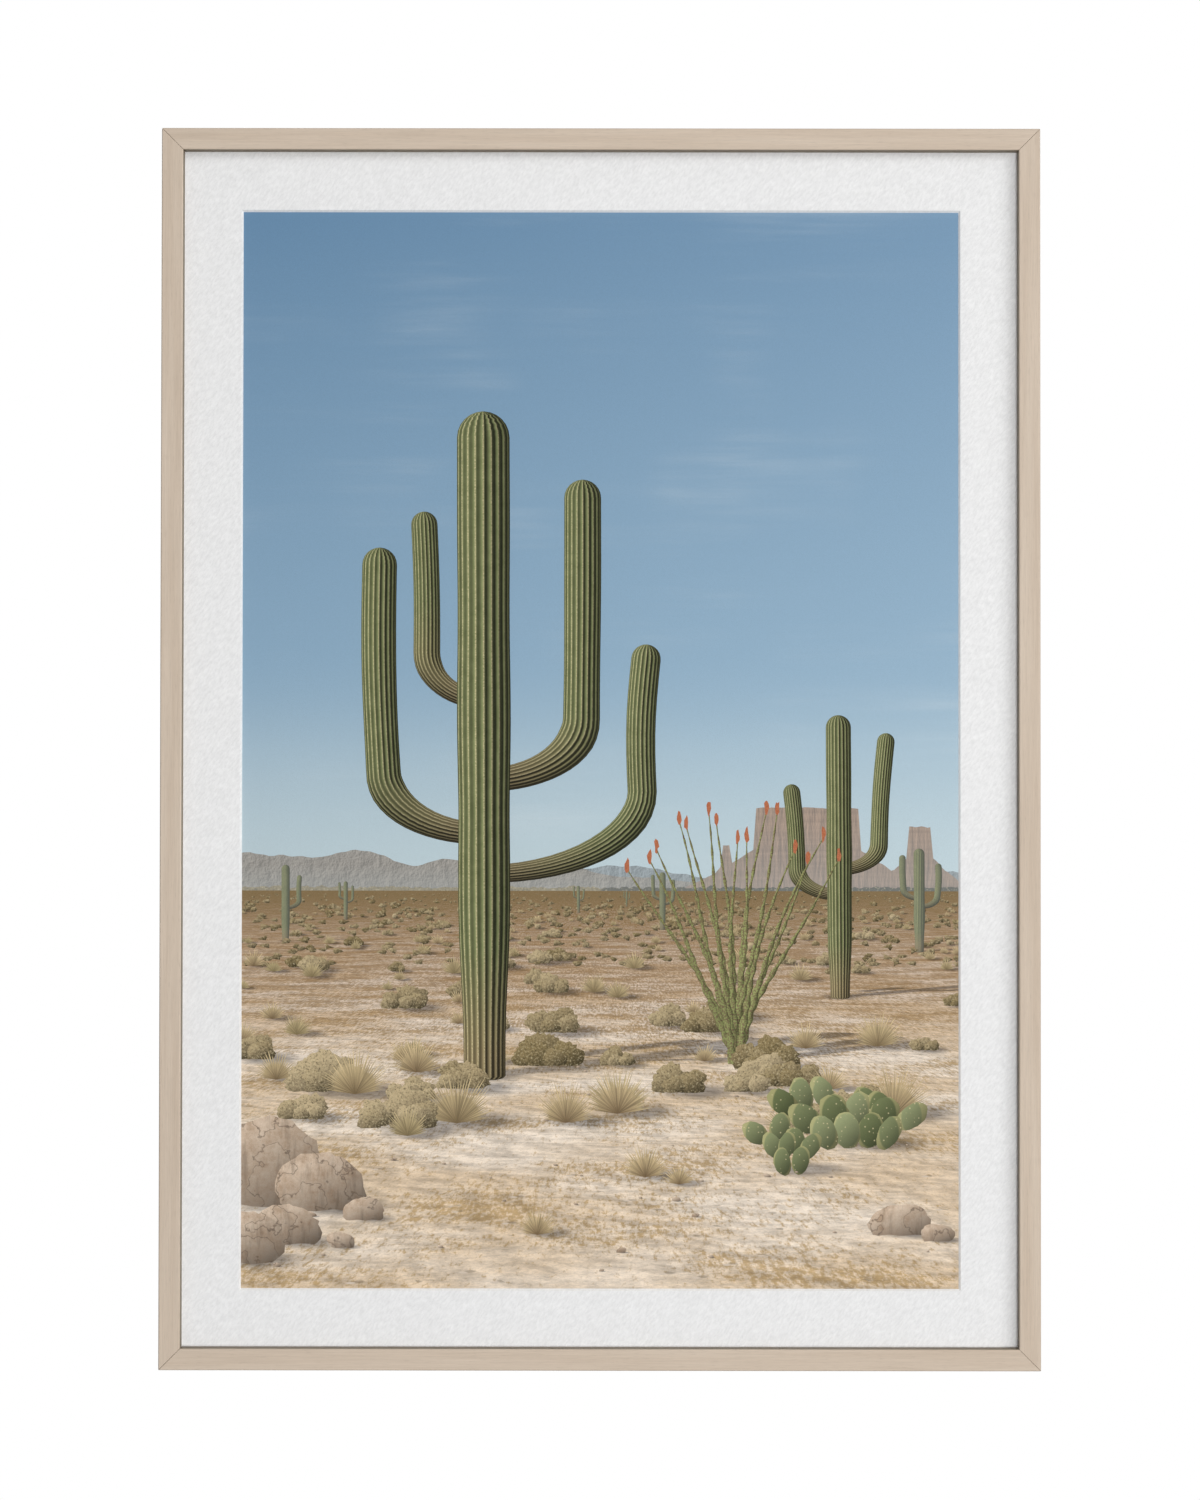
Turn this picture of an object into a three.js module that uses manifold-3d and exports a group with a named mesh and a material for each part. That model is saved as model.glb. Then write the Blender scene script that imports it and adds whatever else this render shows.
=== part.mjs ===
// A framed print: a picture sheet behind a white bevelled mat and clear acrylic, in a mitred frame
// of pale wood, with its boards, retaining tabs and hangers at the back.
//
// Millimetres. +X is to the viewer's right and +Z is up, and the viewer looks along +Y. The back of
// the frame lies in the wall plane y = 0. The origin is the middle of the top rail's back face.

import * as THREE from 'three';
import { mergeVertices } from 'three/addons/utils/BufferGeometryUtils.js';
import Module from 'manifold-3d';

const wasm = await Module();
wasm.setup();

// Driving dimensions of the boards, a 70 by 100 cm format with a 60 by 90 cm picture. The picture's
// paper has an unprinted margin under the mat, and the mat laps a little over the picture.
const sheetWidth = 700;
const sheetHeight = 1000;
const printWidth = 620;
const printHeight = 920;
const windowWidth = 597;
const windowHeight = 897;

// Driving dimensions of the frame's moulding
const railFace = 18;
const railDepth = 30;
const lipDepth = 8;
const lipCover = 3;
const sidePlay = 1;
const arris = 0.8;
const mitreGap = 0.2;

// Thickness of each layer, from the front to the back
const glazingThickness = 2;
const matThickness = 1.5;
const printThickness = 0.5;
const mountingThickness = 3;
const backingThickness = 3;

// Retaining tabs, pressed into the rebate and lying on the backing board
const tabWidth = 7;
const tabReach = 10;
const tabThickness = 0.8;
const tabCounts = { bottom: 3, left: 4, top: 3, right: 4 };
const tabPitch = 240;

// Sawtooth hangers, let into the back of the top rail
const hangerSpacing = 360;
const hangerLength = 52;
const hangerBodyLength = 34;
const hangerEarStart = 3;
const hangerEarHeight = 8;
const hangerReach = 20;
const hangerThickness = 1.2;
const toothCount = 9;
const toothDepth = 1.8;
const housingDepth = 2.4;
const housingPlay = 0.4;

// Pan-head screws that hold the hangers
const screwSpacing = 43;
const screwHeadDiameter = 5.6;
const screwHeadHeight = 1;
const screwShankDiameter = 2.6;
const screwLength = 12;
const screwClearance = 0.3;

// Working values for round shapes, for cutters that run past a face, and for welding a mesh
const roundSegments = 16;
const arcSegments = 8;
const overcut = 1;
const weldDistance = 1e-4;

// The frame's own sizes follow from the boards and the moulding
const railWall = railFace - lipCover - sidePlay;
const outerWidth = sheetWidth + 2 * (sidePlay + railWall);
const outerHeight = sheetHeight + 2 * (sidePlay + railWall);
const frameCentre = railWall / 2 - outerHeight / 2;
const sheetCentre = frameCentre - sidePlay;

// Depth of each layer's back face in front of the wall
const glazingBack = railDepth - lipDepth - glazingThickness;
const matBack = glazingBack - matThickness;
const printBack = matBack - printThickness;
const mountingBack = printBack - mountingThickness;
const backingBack = mountingBack - backingThickness;

// Each side of the frame as a turn about the Y axis from the bottom side, with its rail's length
// and the distance of its outer edge from the frame's centre
const sides = [
  { name: 'bottom', turn: 0, length: outerWidth, edge: outerHeight / 2 },
  { name: 'left', turn: Math.PI / 2, length: outerHeight, edge: outerWidth / 2 },
  { name: 'top', turn: Math.PI, length: outerWidth, edge: outerHeight / 2 },
  { name: 'right', turn: -Math.PI / 2, length: outerHeight, edge: outerWidth / 2 },
];

// Materials

function paleWood() {
  return new THREE.MeshStandardMaterial({ color: 0xc9b9a7, roughness: 0.6, metalness: 0 });
}

function clearAcrylic() {
  return new THREE.MeshStandardMaterial({
    color: 0xffffff,
    roughness: 0.05,
    metalness: 0,
    transparent: true,
    opacity: 0.1,
  });
}

function whiteMatBoard() {
  return new THREE.MeshStandardMaterial({ color: 0xebeae8, roughness: 0.95, metalness: 0 });
}

function printedPaper() {
  return new THREE.MeshStandardMaterial({ color: 0x8fa9b8, roughness: 0.7, metalness: 0 });
}

function foamBoard() {
  return new THREE.MeshStandardMaterial({ color: 0xf2f0ec, roughness: 0.9, metalness: 0 });
}

function fibreboard() {
  return new THREE.MeshStandardMaterial({ color: 0xa98660, roughness: 0.85, metalness: 0 });
}

function zincPlatedSteel() {
  return new THREE.MeshStandardMaterial({ color: 0xb4b6b8, roughness: 0.4, metalness: 1 });
}

// Solids: to the boolean library and back

function toSolid(geometry) {
  const bare = geometry.clone();
  bare.deleteAttribute('normal');
  bare.deleteAttribute('uv');
  const merged = mergeVertices(bare, weldDistance);
  return new wasm.Manifold(new wasm.Mesh({
    numProp: 3,
    vertProperties: merged.getAttribute('position').array,
    triVerts: merged.getIndex().array,
  }));
}

function toGeometry(solid) {
  const mesh = solid.getMesh();
  const geometry = new THREE.BufferGeometry();
  geometry.setAttribute('position', new THREE.BufferAttribute(mesh.vertProperties, 3));
  geometry.setIndex(new THREE.BufferAttribute(mesh.triVerts, 1));
  geometry.computeVertexNormals();
  return geometry;
}

function cutAway(geometry, cutters) {
  let solid = toSolid(geometry);
  for (const cutter of cutters) {
    solid = solid.subtract(toSolid(cutter));
  }
  return toGeometry(solid);
}

// A flat shape drawn in X and Z, given thickness from its back face towards the viewer
function flatPiece(shape, thickness) {
  const geometry = new THREE.ExtrudeGeometry(shape, {
    depth: thickness,
    bevelEnabled: false,
    curveSegments: arcSegments,
  });
  geometry.rotateX(Math.PI / 2);
  return geometry;
}

// A round rod along Y from one depth in front of the wall to another, at a place on the rail's back
function roundRod(diameter, from, to, along, across) {
  const rod = new THREE.CylinderGeometry(diameter / 2, diameter / 2, to - from, roundSegments);
  rod.translate(along, -(from + to) / 2, across);
  return rod;
}

// Rails: every piece on a side is drawn for the bottom side, with its rail along X, its outer edge
// at z = 0 and the frame's inside towards +Z

// The section of a rail: across from the outer edge, and forward from the wall
function railSection() {
  const section = new THREE.Shape();
  section.moveTo(arris, 0);
  section.lineTo(railWall, 0);
  section.lineTo(railWall, railDepth - lipDepth);
  section.lineTo(railFace, railDepth - lipDepth);
  section.lineTo(railFace, railDepth - arris);
  section.lineTo(railFace - arris, railDepth);
  section.lineTo(arris, railDepth);
  section.lineTo(0, railDepth - arris);
  section.lineTo(0, arris);
  section.closePath();
  return section;
}

// Both ends are drawn in by the distance from the outer edge, which cuts the mitres at 45 degrees
function railGeometry(length) {
  const rail = new THREE.ExtrudeGeometry(railSection(), { depth: length, bevelEnabled: false });
  const points = rail.getAttribute('position');
  for (let i = 0; i < points.count; i += 1) {
    const across = points.getX(i);
    const forward = points.getY(i);
    const drawIn = across + mitreGap / Math.SQRT2;
    const along = points.getZ(i) > length / 2 ? length / 2 - drawIn : drawIn - length / 2;
    points.setXYZ(i, along, -forward, across);
  }
  rail.computeVertexNormals();
  return rail;
}

// A rail with the housings and pilot holes for the two hangers
function hangerRailGeometry(length) {
  const cutters = [];
  const housingLength = hangerLength + 2 * housingPlay;
  const housingStart = hangerEarStart - housingPlay;
  const housingWidth = railWall + overcut - housingStart;
  const pilotDiameter = screwShankDiameter + 2 * screwClearance;
  const pilotEnd = housingDepth - hangerThickness + screwLength + screwClearance;
  for (const place of [-hangerSpacing / 2, hangerSpacing / 2]) {
    const housing = new THREE.BoxGeometry(housingLength, 2 * housingDepth, housingWidth);
    housing.translate(place, 0, housingStart + housingWidth / 2);
    cutters.push(housing);
    for (const along of [place - screwSpacing / 2, place + screwSpacing / 2]) {
      cutters.push(roundRod(pilotDiameter, 0, pilotEnd, along, hangerEarStart + hangerEarHeight / 2));
    }
  }
  return cutAway(railGeometry(length), cutters);
}

// Tabs: a flat steel point with a rounded inner end
function tabGeometry() {
  const tip = tabWidth / 2;
  const outline = new THREE.Shape();
  outline.moveTo(-tabWidth / 2, 0);
  outline.lineTo(tabWidth / 2, 0);
  outline.lineTo(tabWidth / 2, tabReach - tip);
  outline.absarc(0, tabReach - tip, tip, 0, Math.PI, false);
  outline.closePath();
  return flatPiece(outline, tabThickness);
}

// Hangers: a steel strip with a rounded ear at each end and a toothed edge over the open recess
function hangerOutline() {
  const toothPitch = hangerBodyLength / toothCount;
  const earRadius = hangerEarHeight / 2;
  const earMiddle = hangerEarStart + earRadius;
  const earCentre = hangerLength / 2 - earRadius;
  const outline = new THREE.Shape();
  outline.moveTo(-earCentre, hangerEarStart);
  outline.lineTo(earCentre, hangerEarStart);
  outline.absarc(earCentre, earMiddle, earRadius, -Math.PI / 2, Math.PI / 2, false);
  outline.lineTo(hangerBodyLength / 2, hangerEarStart + hangerEarHeight);
  for (let tooth = 0; tooth < toothCount; tooth += 1) {
    const start = hangerBodyLength / 2 - tooth * toothPitch;
    outline.lineTo(start, hangerReach);
    outline.lineTo(start - toothPitch / 2, hangerReach - toothDepth);
  }
  outline.lineTo(-hangerBodyLength / 2, hangerReach);
  outline.lineTo(-hangerBodyLength / 2, hangerEarStart + hangerEarHeight);
  outline.lineTo(-earCentre, hangerEarStart + hangerEarHeight);
  outline.absarc(-earCentre, earMiddle, earRadius, Math.PI / 2, 1.5 * Math.PI, false);
  return outline;
}

function hangerGeometry() {
  const outline = hangerOutline();
  for (const along of [-screwSpacing / 2, screwSpacing / 2]) {
    const hole = new THREE.Path();
    hole.absarc(along, hangerEarStart + hangerEarHeight / 2, screwShankDiameter / 2 + screwClearance,
      0, 2 * Math.PI, true);
    outline.holes.push(hole);
  }
  return flatPiece(outline, hangerThickness);
}

// Screws: a low pan head and a pointed shank, turned about the screw's axis, with the head's seat at 0
function screwGeometry() {
  const headRadius = screwHeadDiameter / 2;
  const shankRadius = screwShankDiameter / 2;
  const pointLength = screwShankDiameter;
  const profile = [
    new THREE.Vector2(0, -screwLength),
    new THREE.Vector2(shankRadius, pointLength - screwLength),
    new THREE.Vector2(shankRadius, 0),
    new THREE.Vector2(headRadius, 0),
    new THREE.Vector2(headRadius, screwHeadHeight / 2),
    new THREE.Vector2(headRadius - screwHeadHeight / 2, screwHeadHeight),
    new THREE.Vector2(0, screwHeadHeight),
  ];
  return new THREE.LatheGeometry(profile, roundSegments);
}

// The mat board: its window widens towards the front, so that its cut edge shows as a bevel
function matGeometry() {
  const board = new THREE.Shape();
  board.moveTo(-sheetWidth / 2, -sheetHeight / 2);
  board.lineTo(sheetWidth / 2, -sheetHeight / 2);
  board.lineTo(sheetWidth / 2, sheetHeight / 2);
  board.lineTo(-sheetWidth / 2, sheetHeight / 2);
  board.closePath();
  const opening = new THREE.Path();
  opening.moveTo(-windowWidth / 2, -windowHeight / 2);
  opening.lineTo(-windowWidth / 2, windowHeight / 2);
  opening.lineTo(windowWidth / 2, windowHeight / 2);
  opening.lineTo(windowWidth / 2, -windowHeight / 2);
  opening.closePath();
  board.holes.push(opening);
  const mat = new THREE.ExtrudeGeometry(board, { depth: matThickness, bevelEnabled: false });
  const points = mat.getAttribute('position');
  for (let i = 0; i < points.count; i += 1) {
    const atWindow = Math.abs(points.getX(i)) < sheetWidth / 2;
    if (atWindow && points.getZ(i) > 0) {
      points.setX(i, points.getX(i) + Math.sign(points.getX(i)) * matThickness);
      points.setY(i, points.getY(i) + Math.sign(points.getY(i)) * matThickness);
    }
  }
  mat.rotateX(Math.PI / 2);
  mat.computeVertexNormals();
  return mat;
}

// Assembly

function addPiece(parent, name, geometry, material, place) {
  const piece = new THREE.Mesh(geometry, material);
  piece.name = name;
  piece.position.set(...place);
  parent.add(piece);
  return piece;
}

function addBoard(parent, name, width, height, thickness, back, material) {
  const board = new THREE.BoxGeometry(width, thickness, height);
  addPiece(parent, name, board, material, [0, -back - thickness / 2, sheetCentre]);
}

function addTabs(parent, side) {
  const count = tabCounts[side.name];
  for (let i = 0; i < count; i += 1) {
    const along = (i - (count - 1) / 2) * tabPitch;
    addPiece(parent, `tab_${side.name}_${i + 1}`, tabGeometry(), zincPlatedSteel(),
      [along, tabThickness - backingBack, railWall]);
  }
}

function addHangers(parent) {
  const seat = hangerThickness - housingDepth;
  const across = hangerEarStart + hangerEarHeight / 2;
  for (const [label, place] of [['right', -hangerSpacing / 2], ['left', hangerSpacing / 2]]) {
    addPiece(parent, `hanger_${label}`, hangerGeometry(), zincPlatedSteel(), [place, seat, 0]);
    for (const [end, offset] of [['outer', Math.sign(place)], ['inner', -Math.sign(place)]]) {
      const along = place + offset * screwSpacing / 2;
      addPiece(parent, `screw_${label}_${end}`, screwGeometry(), zincPlatedSteel(), [along, seat, across]);
    }
  }
}

function addSide(parent, side) {
  const turned = new THREE.Group();
  turned.position.z = frameCentre;
  turned.rotation.y = side.turn;
  parent.add(turned);
  const edge = new THREE.Group();
  edge.position.z = -side.edge;
  turned.add(edge);
  const carriesHangers = side.name === 'top';
  const rail = carriesHangers ? hangerRailGeometry(side.length) : railGeometry(side.length);
  addPiece(edge, `rail_${side.name}`, rail, paleWood(), [0, 0, 0]);
  addTabs(edge, side);
  if (carriesHangers) {
    addHangers(edge);
  }
}

const framedPrint = new THREE.Group();
framedPrint.name = 'framed_print';
for (const side of sides) {
  addSide(framedPrint, side);
}
addBoard(framedPrint, 'glazing', sheetWidth, sheetHeight, glazingThickness, glazingBack, clearAcrylic());
addPiece(framedPrint, 'mat_board', matGeometry(), whiteMatBoard(), [0, -matBack, sheetCentre]);
addBoard(framedPrint, 'print_sheet', printWidth, printHeight, printThickness, printBack, printedPaper());
addBoard(framedPrint, 'mounting_board', sheetWidth, sheetHeight, mountingThickness, mountingBack, foamBoard());
addBoard(framedPrint, 'backing_board', sheetWidth, sheetHeight, backingThickness, backingBack, fibreboard());

export default framedPrint;
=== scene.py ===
# A framed print: a desert landscape behind a white bevelled mat and clear acrylic, in a mitred frame
# of pale stained wood, with its boards, retaining tabs and hangers at the back.
#
# Metres. The viewer looks along +Y, the wall plane is y = 0, and the origin is the middle of the
# top rail's back face. The picture on the sheet is laid out in millimetres from the sheet's middle.
import math
import random
from functools import partial

import bmesh
import bpy
from mathutils import Matrix, Vector, noise
from mathutils.geometry import delaunay_2d_cdt


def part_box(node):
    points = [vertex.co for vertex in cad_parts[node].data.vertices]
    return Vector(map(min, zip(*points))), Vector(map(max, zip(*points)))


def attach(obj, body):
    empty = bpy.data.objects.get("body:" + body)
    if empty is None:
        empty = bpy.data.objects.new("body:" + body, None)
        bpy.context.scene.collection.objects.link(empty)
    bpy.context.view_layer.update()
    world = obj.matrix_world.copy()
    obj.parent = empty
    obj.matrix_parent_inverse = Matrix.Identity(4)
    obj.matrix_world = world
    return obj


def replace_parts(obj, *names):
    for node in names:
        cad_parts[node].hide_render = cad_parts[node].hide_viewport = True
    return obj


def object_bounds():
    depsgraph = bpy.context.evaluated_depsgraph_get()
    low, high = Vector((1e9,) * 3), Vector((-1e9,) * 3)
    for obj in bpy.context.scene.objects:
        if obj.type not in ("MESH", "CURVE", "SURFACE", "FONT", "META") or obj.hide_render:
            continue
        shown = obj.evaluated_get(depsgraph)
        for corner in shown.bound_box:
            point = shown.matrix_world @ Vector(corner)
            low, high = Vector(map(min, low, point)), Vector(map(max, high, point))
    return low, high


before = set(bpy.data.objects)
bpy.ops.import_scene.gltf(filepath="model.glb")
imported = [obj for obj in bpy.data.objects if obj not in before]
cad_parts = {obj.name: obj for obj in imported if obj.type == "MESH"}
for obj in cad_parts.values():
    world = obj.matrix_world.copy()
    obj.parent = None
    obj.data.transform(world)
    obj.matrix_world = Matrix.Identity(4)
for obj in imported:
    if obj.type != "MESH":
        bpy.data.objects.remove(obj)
cad_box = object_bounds()

MM = 0.001


# Camera: a 55 mm lens 1.9 m in front of the print, level with its middle and very slightly tilted,
# so that the frame's four sides run as they do in the photograph
LENS_MM = 55.03
IMAGE_HEIGHT_MM = 36
CAMERA_PLACE = (0.0008, -1.9298, -0.5284)
CAMERA_YAW, CAMERA_PITCH, CAMERA_ROLL = 0.00056, 0.00983, -0.00121

lens = bpy.data.cameras.new("camera")
lens.sensor_fit = "VERTICAL"
lens.sensor_height = IMAGE_HEIGHT_MM
lens.lens = LENS_MM
camera = bpy.data.objects.new("camera", lens)
bpy.context.scene.collection.objects.link(camera)
camera.matrix_world = (
    Matrix.Translation(CAMERA_PLACE)
    @ Matrix.Rotation(CAMERA_YAW, 4, "Z")
    @ Matrix.Rotation(CAMERA_PITCH, 4, "X")
    @ Matrix.Rotation(CAMERA_ROLL, 4, "Y")
    @ Matrix.Rotation(math.pi / 2, 4, "X")
)
bpy.context.scene.camera = camera
bpy.context.scene.view_settings.view_transform = "Standard"


# Rails: four mitred lengths of ash moulding, stained a pale taupe and lacquered matt. The lip's inner
# side is darkened as painted shade, a thin dark line round the mat. Glued and nailed at the mitres.
BACK_SET_IN = 0.1 * MM
SPRAY_END = 0.9 * MM
EASED = 0.3 * MM
EASED_STEPS = 3
MERGED = 0.005 * MM
SHARP = math.radians(20)
FLAT = math.radians(1)
LIP_START, LIP_END = 17.72 * MM, 17.98 * MM
RAIL_SIDES = ("bottom", "left", "top", "right")
GRAIN_APART = 3


def add_node(tree, kind, *values, output=None, named=(), **settings):
    """Adds a node with its settings, feeds its open sockets in order or by name, and returns an output."""
    node = tree.nodes.new("ShaderNode" + kind)
    for name, value in settings.items():
        setattr(node, name, value)
    fed = list(zip([socket for socket in node.inputs if socket.enabled], values))
    fed += [(node.inputs[name], value) for name, value in dict(named).items()]
    for socket, value in fed:
        if isinstance(value, bpy.types.NodeSocket):
            tree.links.new(value, socket)
        elif value is not None:
            socket.default_value = value
    if output is not None:
        return node.outputs[output]
    return next(socket for socket in node.outputs if socket.enabled)


def colour(code):
    """An sRGB hex code as a linear colour."""
    channels = [int(code[i:i + 2], 16) / 255 for i in (0, 2, 4)]
    linear = [c / 12.92 if c <= 0.04045 else ((c + 0.055) / 1.055) ** 2.4 for c in channels]
    return (*linear, 1)


def start_material(name, **plain):
    """A new material, the function that adds nodes to it, and its shader with plain values set."""
    material = bpy.data.materials.new(name)
    material.use_nodes = True
    shader = material.node_tree.nodes["Principled BSDF"]
    for socket, value in plain.items():
        shader.inputs[socket.replace("_", " ")].default_value = value
    return material, partial(add_node, material.node_tree), shader


def finish(material, shader, **linked):
    """Links node outputs to the shader's sockets."""
    for socket, value in linked.items():
        material.node_tree.links.new(value, shader.inputs[socket.replace("_", " ")])
    return material


def stained_ash():
    # Ash sawn along the grain, stained and sprayed matt: long soft light and dark stripes, fine
    # broken pore lines drawn twice as wide as life so that they show, and a low even sheen. The
    # back was not reached by the spray and keeps the yellower colour of bare ash.
    material, add, shader = start_material("stained_ash", Roughness=0.52)
    grain = add("Attribute", output="Vector", attribute_name="grain")
    broad = add("TexNoise", add("Mapping", grain, None, None, (5, 130, 130)), 1.0, 2.0, 0.5)
    fibre = add("TexNoise", add("Mapping", grain, None, None, (22, 900, 900)), 1.0, 3.0, 0.6)
    pores = add("TexNoise", add("Mapping", grain, None, None, (110, 1900, 1900)), 1.0, 1.0, 0.5)
    stain = add("Mix", broad, colour("CCB9A5"), colour("E2D2C0"), data_type="RGBA")
    light = add("MapRange", fibre, 0.3, 0.7, 0.93, 1.05)
    pore = add("MapRange", pores, 0.58, 0.72, 1.0, 0.9)
    shade = add("Math", light, pore, operation="MULTIPLY")
    wood = add("VectorMath", stain, named={"Scale": shade}, operation="SCALE")
    split = add("SeparateXYZ", grain).node.outputs
    bare = add("MapRange", split["Z"], -SPRAY_END, -BACK_SET_IN, 0.0, 1.0)
    pale = add("VectorMath", colour("E6D2B4")[:3], named={"Scale": shade}, operation="SCALE")
    wood = add("Mix", bare, wood, pale, data_type="RGBA")
    # Painted shade: the lip's inner side, facing into the recess round the mat, is darkened to a deep brown
    painted_lip_shade = add("MapRange", split["Y"], LIP_START, LIP_END, 0.0, 1.0)
    wood = add("Mix", painted_lip_shade, wood, colour("82745F"), data_type="RGBA")
    relief = add("Math", fibre, pore, operation="MULTIPLY")
    bump = add("Bump", 0.25, 0.2 * MM, named={"Height": relief})
    return finish(material, shader, Base_Color=wood, Normal=bump)


def merged_copy(node, round_by, steps):
    """A CAD node's mesh as a bmesh with its flat faces whole and its sharp edges rounded."""
    shape = bmesh.new()
    shape.from_mesh(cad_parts[node].data)
    bmesh.ops.remove_doubles(shape, verts=shape.verts, dist=MERGED)
    bmesh.ops.dissolve_limit(shape, angle_limit=FLAT, verts=shape.verts, edges=shape.edges)
    sharp = [edge for edge in shape.edges if edge.is_manifold and edge.calc_face_angle() > SHARP]
    bmesh.ops.bevel(shape, geom=sharp, offset=round_by, offset_type="OFFSET", segments=steps,
                    profile=0.5, affect="EDGES", material=-1, clamp_overlap=True)
    return shape


def add_piece(name, shape, materials):
    """Makes a finished bmesh an object of the framed print."""
    mesh = bpy.data.meshes.new(name)
    shape.to_mesh(mesh)
    shape.free()
    for material in materials:
        mesh.materials.append(material)
    piece = bpy.data.objects.new(name, mesh)
    bpy.context.scene.collection.objects.link(piece)
    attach(piece, "root")
    return piece


def dress(node, material):
    """Gives a CAD node that is shown as it is its material."""
    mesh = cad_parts[node].data
    mesh.materials.clear()
    mesh.materials.append(material)


wood = stained_ash()
low, high = cad_box
middle = Vector(((low[0] + high[0]) / 2, 0, (low[2] + high[2]) / 2))
half_sizes = ((high[2] - low[2]) / 2, (high[0] - low[0]) / 2)
for number, side in enumerate(RAIL_SIDES):
    rail = merged_copy(f"rail_{side}", EASED, EASED_STEPS)
    grain = rail.verts.layers.float_vector.new("grain")
    to_bottom = Matrix.Rotation(-math.radians(90 * number), 3, "Y")
    for vertex in rail.verts:
        place = to_bottom @ (vertex.co - middle)
        vertex[grain] = (place.x + GRAIN_APART * number, place.z + half_sizes[number % 2], place.y)
        vertex.co.y = min(-BACK_SET_IN, vertex.co.y)
    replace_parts(add_piece(f"moulding_{side}", rail, [wood]), f"rail_{side}")


# Glazing: one 2 mm sheet of clear cast acrylic with a low-reflection coat, held in the rebate in
# front of the mat. It only shows as a faint gloss when it is seen from the side.
def clear_acrylic():
    # Coated acrylic: nearly all light goes straight through, and a little shines back at an angle
    material = bpy.data.materials.new("coated_acrylic")
    material.use_nodes = True
    tree = material.node_tree
    tree.nodes.clear()
    add = partial(add_node, tree)
    through = add("BsdfTransparent", colour("FFFFFF"))
    gloss = add("BsdfGlossy", colour("FFFFFF"), 0.05)
    slant = add("Math", add("LayerWeight", 0.5, output="Facing"), 4.0, operation="POWER")
    share = add("MapRange", slant, 0.0, 1.0, 0.003, 0.5)
    mixed = add("MixShader", share, through, gloss)
    output = tree.nodes.new("ShaderNodeOutputMaterial")
    tree.links.new(mixed, output.inputs["Surface"])
    return material


dress("glazing", clear_acrylic())


# Mat: a 1.5 mm cotton rag board with its window cut at 45 degrees by a mat cutter, so that the white
# core shows as a thin bevel round the picture. Its face is softly embossed like drawing paper.
def cotton_board():
    # Cotton rag: a matt, neutral white with a shallow felt mark of slanting strokes, about 2 mm across
    # and 5 mm long, embossed and also drawn a few percent lighter and darker in the colour
    material, add, shader = start_material("cotton_rag_board", Roughness=0.95, Specular_IOR_Level=0.2)
    place = add("TexCoord", output="Object")
    slanted = add("VectorMath", add("Mapping", place, None, (0, math.radians(-35), 0)), (1, 1, 0.4),
                  operation="MULTIPLY")
    felt = add("TexNoise", slanted, 560.0, 3.0, 0.6)
    cloud = add("TexNoise", place, 90.0, 2.0, 0.5)
    marks = add("MapRange", felt, 0.3, 0.7, 0.925, 1.058)
    soft = add("MapRange", cloud, 0.3, 0.7, 0.985, 1.01)
    tone = add("Math", marks, soft, operation="MULTIPLY")
    paper = add("VectorMath", colour("F3F3F3")[:3], named={"Scale": tone}, operation="SCALE")
    bump = add("Bump", 0.5, 0.3 * MM, named={"Height": felt})
    return finish(material, shader, Base_Color=paper, Normal=bump)


dress("mat_board", cotton_board())


# Print: a sheet of cotton paper, 620 by 920 mm, with a 600 by 900 mm photographic picture in matt
# pigment ink and a bare margin under the mat. Its picture is a made-up desert in late sun. Each shape
# is laid over the ones before it like cut paper, and all are then cut into one flat face.
PICTURE_WIDTH, PICTURE_HEIGHT = 600, 900
PICTURE_SIDE, PICTURE_TOP = PICTURE_WIDTH / 2, PICTURE_HEIGHT / 2
HORIZON = -118
EYE_HEIGHT = 1.6
PICTURE_LENS = 1250
BEND_STEPS, DOME_STEPS = 14, 6
WAND_POINTS = 26
SUN = Vector((-0.48, 0.72, 0.50))
SHADOW_RIGHT, SHADOW_AWAY = 0.667, 0.694
THINNEST_FACE = 0.02
CUT_TOLERANCE = 0.0005
SPILT_AREA = 500000
SHADOW = "shadow"
SHADOW_POINTS, SHADOW_ROWS = 8, 12
FOOT_SHADE, LIMB_SHADE = 1.7, 1.8
TALLEST_CACTUS = 560
RIBS = 10
SPECKS, LOW_PLANTS, STONES = 800, 240, 70
EDGE_STRIP = 0.03

print_low, print_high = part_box("print_sheet")
sheet_middle = (print_low + print_high) / 2
sheet_size = (print_high - print_low) / MM
dice = random.Random(11)
places = []
faces = []


def doubled_area(a, b, c):
    """Twice the area of a flat triangle, or less than zero where its corners turn clockwise."""
    return (b - a).cross(c - a)


def lay(ink, points, values, triangles):
    """Lays a shape of triangles in one ink. Each point has four values that the ink reads."""
    first = len(places)
    places.extend(Vector(point) for point in points)
    for corners in triangles:
        a, b, c = (places[first + corner] for corner in corners)
        size = doubled_area(a, b, c)
        if size < 0:
            corners = corners[::-1]
        longest = max((b - a).length, (c - b).length, (a - c).length)
        if abs(size) > THINNEST_FACE * longest:
            numbers = [first + corner for corner in corners]
            spots = [places[number] for number in numbers]
            faces.append((ink, numbers, spots, [values[corner] for corner in corners]))


def lay_outline(ink, outline, centre, half_width, half_height, tone):
    """Lays one outline that turns anticlockwise. Its values are the place beside and above its centre,
    as parts of its half width and half height, and a random tone."""
    numbers = list(range(len(places), len(places) + len(outline)))
    places.extend(outline)
    spots = [centre, centre + Vector((half_width, 0)), centre + Vector((0, half_height))]
    faces.append((ink, numbers, spots, [(0, 0, tone, 0), (1, 0, tone, 0), (0, 1, tone, 0)]))


def lay_rows(ink, rows, values):
    """Lays a strip given as rows of points that all have the same number of columns."""
    columns = len(rows[0])
    triangles = []
    for row in range(len(rows) - 1):
        for column in range(columns - 1):
            corner = row * columns + column
            triangles.append((corner, corner + 1, corner + columns + 1))
            triangles.append((corner, corner + columns + 1, corner + columns))
    lay(ink, sum(rows, []), sum(values, []), triangles)


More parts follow.
